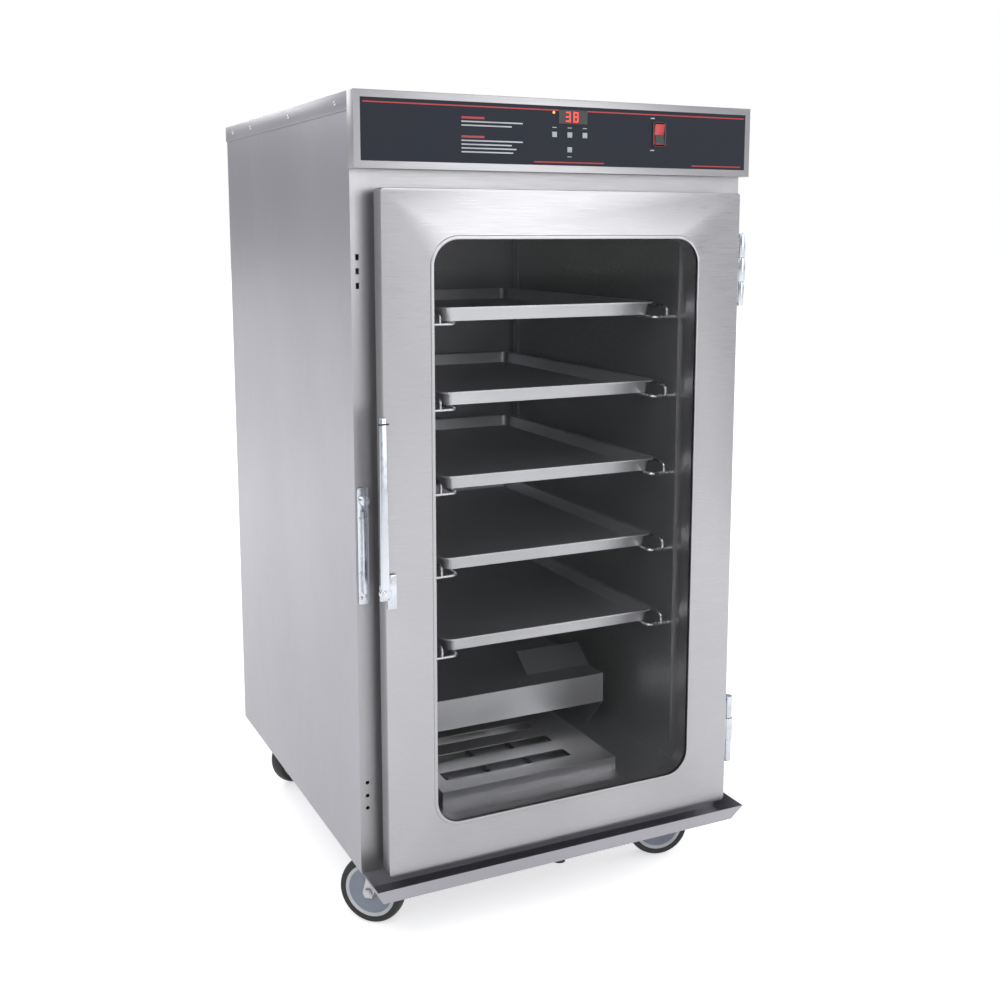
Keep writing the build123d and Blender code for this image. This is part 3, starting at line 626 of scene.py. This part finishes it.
# The console's places: x and z are the object's own; a drop is below the overlay's top.
PRINT_DEPTH = 0.0004
RULE_INSET = 0.004                      # top rule from the overlay's ends, lower rules from its edge
RULE_DROP = 0.006
LOWER_RULES = ((-0.064, 0.074), (0.259, 0.368))
TEXT_LEFT = -0.200
HEADING_RIGHT = -0.158
HEADING_HEIGHT = 0.0035
HEADING_DROPS = (0.024, 0.055)
TEXT_BLOCKS = ((0.031, 2), (0.062, 4))  # drop of the first bar, number of bars
BAR_PITCH = 0.0062
BAR_HEIGHT = 0.0022
BAR_RIGHT = -0.086
BAR_SHORTER = 0.021                     # every third bar
BAR_TAPER = 0.006                       # each further bar
KEY_MARKS = ((0.005, 1.4525), (-0.025, 1.4525), (0.035, 1.4525), (0.005, 1.4035))
KEY_MARK_SIZE = (0.008, 0.0012)
ROCKER_MARK_X = (0.170, 0.178)
ROCKER_MARK_TOPS = (1.4755, 1.4195)
ROCKER_MARK_HEIGHT = 0.0018
DISPLAY_X = (-0.017, 0.040)
DISPLAY_Z = (1.4585, 1.4825)
DISPLAY_DEPTH = 0.0009
SURROUND_RIM = 0.004                    # outer edge of the surround, out from the rocker
SURROUND_SIDE = 0.0007                  # gap beside the rocker
SURROUND_END = 0.0022                   # gap above and below it
SURROUND_DEPTH = 0.0018
SURROUND_EDGE = 0.0004
DIGITS = ("38", (-0.003, 1.462))        # figures, and their lower left corner
DIGIT_SHAPE = (0.55, 0.13, 1.6)         # width and stroke of the height, advance of the width
DIGIT_GAP = 0.0003
LAMP_PLACE = (-0.026, 1.477)
LAMP_PROFILE = ((0.0, 0.0014, 0), (0.0016, 0.0011, 0), (0.0024, 0.0, 0), (0.0, 0.0, 0))


class CABINET_OT_console(bpy.types.Operator):
    """Rules, plain bars, display, rocker surround and lamp on the console"""
    bl_idname = "cabinet.console"
    bl_label = "Console"

    def execute(self, context):
        low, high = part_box("control_overlay")
        y = low.y
        self.rules(low, high, sizes().rule_width)
        self.bars(high.z, y)
        self.display_and_surround(y)
        self.digits(y - DISPLAY_DEPTH)
        lamp = bmesh.new()
        add_lathe(lamp, LAMP_PROFILE, (LAMP_PLACE[0], y, LAMP_PLACE[1]), (0, -1, 0), 24, closed=False)
        put("status_lamp", mesh_of("status_lamp", lamp, radians(40)), "root", "overlay_film", "lamp")
        return {"FINISHED"}

    def rules(self, low, high, width):
        """A rule along the top, two short ones along the bottom, and the two headings."""
        y = low.y
        bm = bmesh.new()
        top = high.z - RULE_DROP
        bottom = low.z + RULE_INSET
        add_box(bm, (low.x + RULE_INSET, y - PRINT_DEPTH, top - width), (high.x - RULE_INSET, y, top))
        for x0, x1 in LOWER_RULES:
            add_box(bm, (x0, y - PRINT_DEPTH, bottom), (x1, y, bottom + width))
        for z in (high.z - drop for drop in HEADING_DROPS):
            add_box(bm, (TEXT_LEFT, y - PRINT_DEPTH, z - HEADING_HEIGHT), (HEADING_RIGHT, y, z))
        put("red_rules", mesh_of("red_rules", bm), "root", "overlay_film", "accent")

    def bars(self, top, y):
        """Plain bars in place of printed lines, and marks by the keys and the rocker."""
        bm = bmesh.new()
        for drop, rows in TEXT_BLOCKS:
            for row in range(rows):
                z = top - drop - row * BAR_PITCH
                end = BAR_RIGHT - (BAR_SHORTER if row % 3 == 1 else BAR_TAPER * row)
                add_box(bm, (TEXT_LEFT, y - PRINT_DEPTH, z - BAR_HEIGHT), (end, y, z))
        half, tall = KEY_MARK_SIZE[0] / 2, KEY_MARK_SIZE[1]
        for x, z in KEY_MARKS:
            add_box(bm, (x - half, y - PRINT_DEPTH, z - tall), (x + half, y, z))
        for z in ROCKER_MARK_TOPS:
            add_box(bm, (ROCKER_MARK_X[0], y - PRINT_DEPTH, z - ROCKER_MARK_HEIGHT),
                    (ROCKER_MARK_X[1], y, z))
        put("pale_bars", mesh_of("pale_bars", bm), "root", "overlay_film", "print")

    def display_and_surround(self, y):
        """Dark display window, and a rim of four bars about the rocker."""
        bm = bmesh.new()
        add_box(bm, (DISPLAY_X[0], y - DISPLAY_DEPTH, DISPLAY_Z[0]), (DISPLAY_X[1], y, DISPLAY_Z[1]),
                bevel=SURROUND_EDGE)
        low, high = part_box("power_rocker")
        left, right = low.x - SURROUND_RIM, high.x + SURROUND_RIM
        bottom, top = low.z - SURROUND_RIM, high.z + SURROUND_RIM
        for x0, z0, x1, z1 in ((left, bottom, right, low.z - SURROUND_END),
                               (left, high.z + SURROUND_END, right, top),
                               (left, bottom, low.x - SURROUND_SIDE, top),
                               (high.x + SURROUND_SIDE, bottom, right, top)):
            add_box(bm, (x0, y - SURROUND_DEPTH, z0), (x1, y, z1), bevel=SURROUND_EDGE)
        put("display_and_surround", mesh_of("display_and_surround", bm), "root", "overlay_film",
            "black")

    def digits(self, y):
        """Seven-segment figures on the display."""
        aspect, stroke, advance = DIGIT_SHAPE
        figures, (left, bottom) = DIGITS
        tall = sizes().digit_height
        wide = tall * aspect
        thick = tall * stroke
        half = tall / 2
        bars = {
            "top": (0, tall - thick, wide, thick), "middle": (0, half - thick / 2, wide, thick),
            "bottom": (0, 0, wide, thick), "upper_left": (0, half, thick, half),
            "upper_right": (wide - thick, half, thick, half), "lower_left": (0, 0, thick, half),
            "lower_right": (wide - thick, 0, thick, half),
        }
        segments = {"3": ("top", "middle", "bottom", "upper_right", "lower_right"), "8": tuple(bars)}
        bm = bmesh.new()
        for place, figure in enumerate(figures):
            x = left + place * wide * advance
            for bar in segments[figure]:
                bx, bz, w, h = bars[bar]
                add_box(bm, (x + bx + DIGIT_GAP, y - DIGIT_GAP, bottom + bz + DIGIT_GAP),
                        (x + bx + w - DIGIT_GAP, y, bottom + bz + h - DIGIT_GAP))
        put("display_digits", mesh_of("display_digits", bm), "root", "overlay_film", "lit")


ROCKER_INSET = (0.0012, 0.0010, 0.0016)     # dark half in from the rocker's side, face and end
ROCKER_DARK_DEPTH = 0.0040
ROCKER_MIDDLE_GAP = 0.0012
ROCKER_EDGE = 0.0005


class CABINET_OT_rocker(bpy.types.Operator):
    """Dark lower half of the power rocker"""
    bl_idname = "cabinet.rocker"
    bl_label = "Rocker"

    def execute(self, context):
        low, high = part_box("power_rocker")
        middle = (low.z + high.z) / 2
        side, face, end = ROCKER_INSET
        bm = bmesh.new()
        add_box(bm, (low.x + side, low.y + face, low.z + end),
                (high.x - side, low.y + ROCKER_DARK_DEPTH, middle - ROCKER_MIDDLE_GAP),
                bevel=ROCKER_EDGE)
        put("rocker_lower_half", mesh_of("rocker_lower_half", bm), "power_rocker", "rocker_red",
            "black")
        return {"FINISHED"}


LATCH_PLATE_WIDTH = 0.017           # from the door's edge
LATCH_PLATE_GAP = 0.0005            # back from the door's edge
LATCH_PLATE_EDGE = 0.0014
LATCH_ARM_LAP = 0.004               # pivot arm over the door's face
LATCH_ARM_HALF = 0.014              # half height of the pivot arm
LATCH_ARM_BACK = 0.001
LATCH_ARM_EDGE = 0.0012
LATCH_PIN_START = 0.004             # pin's back end, ahead of the door
LATCH_PIN_PROFILE = ((0.0, 0.0, 0), (0.0038, 0.0, 0), (0.0038, 0.0095, 0), (0.0, 0.0095, 0))
LATCH_CAP_PROFILE = ((0.0, 0.0022, 0), (0.0040, 0.0020, 0), (0.0048, 0.0012, 0),
                     (0.0062, 0.0012, 0), (0.0066, 0.0, 0), (0.0, 0.0, 0))
LEVER_BAND_DROPS = (0.0125, 0.0095)  # dark band below the lever's end
LEVER_BAND_INSET = 0.0010
LEVER_BAND_DEPTHS = (0.0002, 0.0004)  # ahead of and into the lever's face


class CABINET_OT_latch(bpy.types.Operator):
    """Narrow latch plate on the door edge, with a round pivot cap and a dark band on the lever"""
    bl_idname = "cabinet.latch"
    bl_label = "Latch"

    def execute(self, context):
        low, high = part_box("latch_body")
        lever_low, lever_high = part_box("latch_lever")
        pivot = next(j for j in frame["joints"] if j["name"] == "latch_lever_pivot")
        centre = Vector(pivot["pos_m"])
        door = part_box("door_outer_frame")[0]
        ahead = (0, -1, 0)
        plate = bmesh.new()
        add_box(plate, (door.x + LATCH_PLATE_GAP, door.y - LATCH_PLATE, low.z),
                (door.x + LATCH_PLATE_WIDTH, door.y, high.z), bevel=LATCH_PLATE_EDGE)
        add_box(plate, (low.x, door.y - LATCH_PLATE, centre.z - LATCH_ARM_HALF),
                (door.x + LATCH_ARM_LAP, door.y - LATCH_ARM_BACK, centre.z + LATCH_ARM_HALF),
                bevel=LATCH_ARM_EDGE)
        add_lathe(plate, LATCH_PIN_PROFILE, (centre.x, door.y - LATCH_PIN_START, centre.z), ahead, 32,
                  closed=False)
        finished = put("latch_plate", mesh_of("latch_plate", plate, radians(30)), "door",
                       "chrome_hardware", "chrome")
        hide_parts("latch_body")
        cap = bmesh.new()
        add_lathe(cap, LATCH_CAP_PROFILE, (centre.x, lever_low.y, centre.z), ahead, 40, closed=False)
        put("latch_pivot_cap", mesh_of("latch_pivot_cap", cap, radians(30)), "latch_lever",
            "chrome_hardware", "chrome")
        band = bmesh.new()
        lower, upper = (lever_high.z - drop for drop in LEVER_BAND_DROPS)
        add_box(band, (lever_low.x + LEVER_BAND_INSET, lever_low.y - LEVER_BAND_DEPTHS[0], lower),
                (lever_high.x - LEVER_BAND_INSET, lever_low.y + LEVER_BAND_DEPTHS[1], upper))
        put("latch_lever_band", mesh_of("latch_lever_band", band), "latch_lever",
            "chrome_hardware", "black")
        return {"FINISHED"}


WHEEL_RADIUS = 0.0635
TREAD_CROWN = 0.006                 # sag of the tread's arc, for a full quarter turn
TREAD_ARC = 1.25                    # half angle of the tread's arc
TREAD_HALF = 0.0155                 # half width of the tread
TREAD_STEPS = 10
TYRE_SHOULDER = (0.0560, 0.0155, 0)
TYRE_SEAT = (0.0505, 0.0135, 0)
HUB_PROFILE = ((0.0062, -0.0180, 1), (0.0130, -0.0180, 1), (0.0140, -0.0170, 1),
               (0.0150, -0.0105, 1), (0.0380, -0.0085, 1), (0.0440, -0.0120, 2),
               (0.0500, -0.0138, 2), (0.0503, -0.0120, 2))
WHEEL_FACETS = 72


def mirrored(profile):
    """The same profile on the other side of the wheel, in the opposite order."""
    return [(radius, -height, material) for radius, height, material in reversed(profile)]


class CABINET_OT_casters(bpy.types.Operator):
    """Turned wheels with a rounded tyre, a pale ring and a dished hub"""
    bl_idname = "cabinet.casters"
    bl_label = "Caster wheels"

    def execute(self, context):
        spins = {j["name"]: j for j in frame["joints"]}
        angles = [(-TREAD_ARC + 2 * TREAD_ARC * i / TREAD_STEPS) for i in range(TREAD_STEPS + 1)]
        tread = [(WHEEL_RADIUS - TREAD_CROWN * (1 - cos(a)), TREAD_HALF * sin(a) / sin(TREAD_ARC), 0)
                 for a in angles]
        far_side = [TYRE_SHOULDER, TYRE_SEAT]
        tyre = [*mirrored(far_side), *tread, *far_side]
        hub = [*HUB_PROFILE, *mirrored(HUB_PROFILE)]
        for corner in CORNERS:
            joint = spins[f"wheel_spin_{corner}"]
            centre = Vector(joint["pos_m"])
            axis = Vector(joint["axis"])
            bm = bmesh.new()
            add_lathe(bm, tyre, centre, axis, WHEEL_FACETS)
            add_lathe(bm, hub, centre, axis, WHEEL_FACETS)
            wheel = put(f"wheel_finished_{corner}", mesh_of(f"wheel_{corner}", bm, radians(38)),
                        f"wheel_{corner}", "wheel_tyre", "tyre", "hub", "ring")
            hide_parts(f"caster_wheel_{corner}")
        return {"FINISHED"}


FLOOR_REACH = 40.0
FLOOR_LIFT = (("From Min", 1.2), ("From Max", 4.5), ("To Min", 0.54), ("To Max", 0.95))
AIM = (0, 0, 0.8)                   # what the lamps look at
LAMPS = (                           # name, place, size, power
    ("key_light", (-2.6, -3.2, 3.6), 2.6, 105),
    ("front_light", (1.6, -4.2, 2.2), 2.4, 52),
    ("right_light", (3.6, -0.6, 2.4), 2.2, 45),
    ("back_light", (-1.2, 3.8, 3.2), 2.6, 60),
)
WORLD_LIGHT = ((0.88, 0.90, 0.93, 1), 0.55)
WORLD_SEEN = ((1, 1, 1, 1), 1.0)
CAMERA_PLACE = (-1.0663, -2.3435, 1.2738)
CAMERA_DOWN = 8.567                 # degrees below level
CAMERA_TURN = -25.853               # degrees about the vertical
CAMERA_SENSOR = 36
CAMERA_LENS = 36 * 1.247
CAMERA_SHIFT = -0.08


class CABINET_OT_stage(bpy.types.Operator):
    """Floor, studio light and camera"""
    bl_idname = "cabinet.stage"
    bl_label = "Stage"

    def execute(self, context):
        scene = context.scene
        scene.view_settings.view_transform = "Standard"
        bm = bmesh.new()
        for x, y in ((-1, -1), (1, -1), (1, 1), (-1, 1)):
            bm.verts.new((x * FLOOR_REACH, y * FLOOR_REACH, 0))
        bm.faces.new(bm.verts)
        mesh = bpy.data.meshes.new("floor")
        bm.to_mesh(mesh)
        bm.free()
        floor = bpy.data.objects.new("floor", mesh)
        scene.collection.objects.link(floor)
        floor.data.materials.append(self.floor_material())
        self.world(scene)
        for lamp in LAMPS:
            self.lamp(*lamp)
        camera = bpy.data.cameras.new("camera")
        camera.sensor_width = CAMERA_SENSOR
        camera.lens = CAMERA_LENS
        camera.shift_y = CAMERA_SHIFT
        camera.clip_end = 60
        view = bpy.data.objects.new("camera", camera)
        scene.collection.objects.link(view)
        view.location = CAMERA_PLACE
        view.rotation_euler = Euler((radians(90 - CAMERA_DOWN), 0, radians(CAMERA_TURN)), "XYZ")
        scene.camera = view
        return {"FINISHED"}

    def floor_material(self):
        """Pale floor; the camera and mirrors see it lifted towards white, more so far off."""
        s = Shader("studio_floor", (0.80, 0.80, 0.80), roughness=0.9)
        grain = s.noise(2.0, detail=3.0)
        s.tint(grain, (0.79, 0.79, 0.79), (0.81, 0.81, 0.81))
        path = s.add("ShaderNodeLightPath")
        seen = s.add("ShaderNodeMath", operation="MAXIMUM")
        lift = s.add("ShaderNodeMath", operation="MULTIPLY")
        place = s.add("ShaderNodeTexCoord")
        distance = s.add("ShaderNodeVectorMath", operation="LENGTH")
        fade = s.add("ShaderNodeMapRange")
        for key, value in FLOOR_LIFT:
            fade.inputs[key].default_value = value
        s.link(place.outputs["Object"], distance.inputs[0])
        s.link(distance.outputs["Value"], fade.inputs["Value"])
        s.link(fade.outputs["Result"], lift.inputs[1])
        s.link(path.outputs["Is Camera Ray"], seen.inputs[0])
        s.link(path.outputs["Is Glossy Ray"], seen.inputs[1])
        s.link(seen.outputs["Value"], lift.inputs[0])
        glow = s.add("ShaderNodeEmission")
        total = s.add("ShaderNodeAddShader")
        s.link(lift.outputs["Value"], glow.inputs["Strength"])
        s.link(s.shader.outputs["BSDF"], total.inputs[0])
        s.link(glow.outputs["Emission"], total.inputs[1])
        s.link(total.outputs["Shader"], s.tree.nodes["Material Output"].inputs["Surface"])
        return s.material

    def world(self, scene):
        """Soft grey light all round, seen by the camera as white."""
        world = bpy.data.worlds.new("studio")
        world.use_nodes = True
        tree = world.node_tree
        light = tree.nodes["Background"]
        white = tree.nodes.new("ShaderNodeBackground")
        for node, (tone, strength) in ((light, WORLD_LIGHT), (white, WORLD_SEEN)):
            node.inputs["Color"].default_value = tone
            node.inputs["Strength"].default_value = strength
        path = tree.nodes.new("ShaderNodeLightPath")
        mix = tree.nodes.new("ShaderNodeMixShader")
        tree.links.new(path.outputs["Is Camera Ray"], mix.inputs["Fac"])
        tree.links.new(light.outputs["Background"], mix.inputs[1])
        tree.links.new(white.outputs["Background"], mix.inputs[2])
        tree.links.new(mix.outputs["Shader"], tree.nodes["World Output"].inputs["Surface"])
        scene.world = world

    def lamp(self, name, place, size, power):
        """A square lamp that looks at the middle of the cabinet."""
        light = bpy.data.lights.new(name, "AREA")
        light.size = size
        light.energy = power
        obj = bpy.data.objects.new(name, light)
        bpy.context.scene.collection.objects.link(obj)
        obj.location = place
        obj.rotation_euler = (Vector(AIM) - Vector(place)).to_track_quat("-Z", "Y").to_euler()


STEPS = (CABINET_OT_stage, CABINET_OT_finishes, CABINET_OT_soft_edges, CABINET_OT_screws,
         CABINET_OT_louvres, CABINET_OT_console, CABINET_OT_rocker, CABINET_OT_latch,
         CABINET_OT_casters)


class CABINET_PT_panel(bpy.types.Panel):
    """Lists the cabinet's steps and settings"""
    bl_idname = "CABINET_PT_panel"
    bl_label = "Proofing Cabinet"
    bl_space_type = "VIEW_3D"
    bl_region_type = "UI"
    bl_category = "Cabinet"

    def draw(self, context):
        for group in (context.scene.cabinet_finish, context.scene.cabinet_sizes):
            for key in group.bl_rna.properties.keys():
                if key not in ("rna_type", "name"):
                    self.layout.prop(group, key)
        for step in STEPS:
            self.layout.operator(step.bl_idname)


CLASSES = (CABINET_PG_finish, CABINET_PG_sizes, *STEPS, CABINET_PT_panel)


def register():
    for cls in CLASSES:
        bpy.utils.register_class(cls)
    bpy.types.Scene.cabinet_finish = bpy.props.PointerProperty(type=CABINET_PG_finish)
    bpy.types.Scene.cabinet_sizes = bpy.props.PointerProperty(type=CABINET_PG_sizes)


def unregister():
    del bpy.types.Scene.cabinet_sizes
    del bpy.types.Scene.cabinet_finish
    for cls in reversed(CLASSES):
        bpy.utils.unregister_class(cls)


def main():
    """Run every step in order."""
    register()
    for step in STEPS:
        group, name = step.bl_idname.split(".")
        getattr(getattr(bpy.ops, group), name)()


if __name__ == "__main__":
    main()
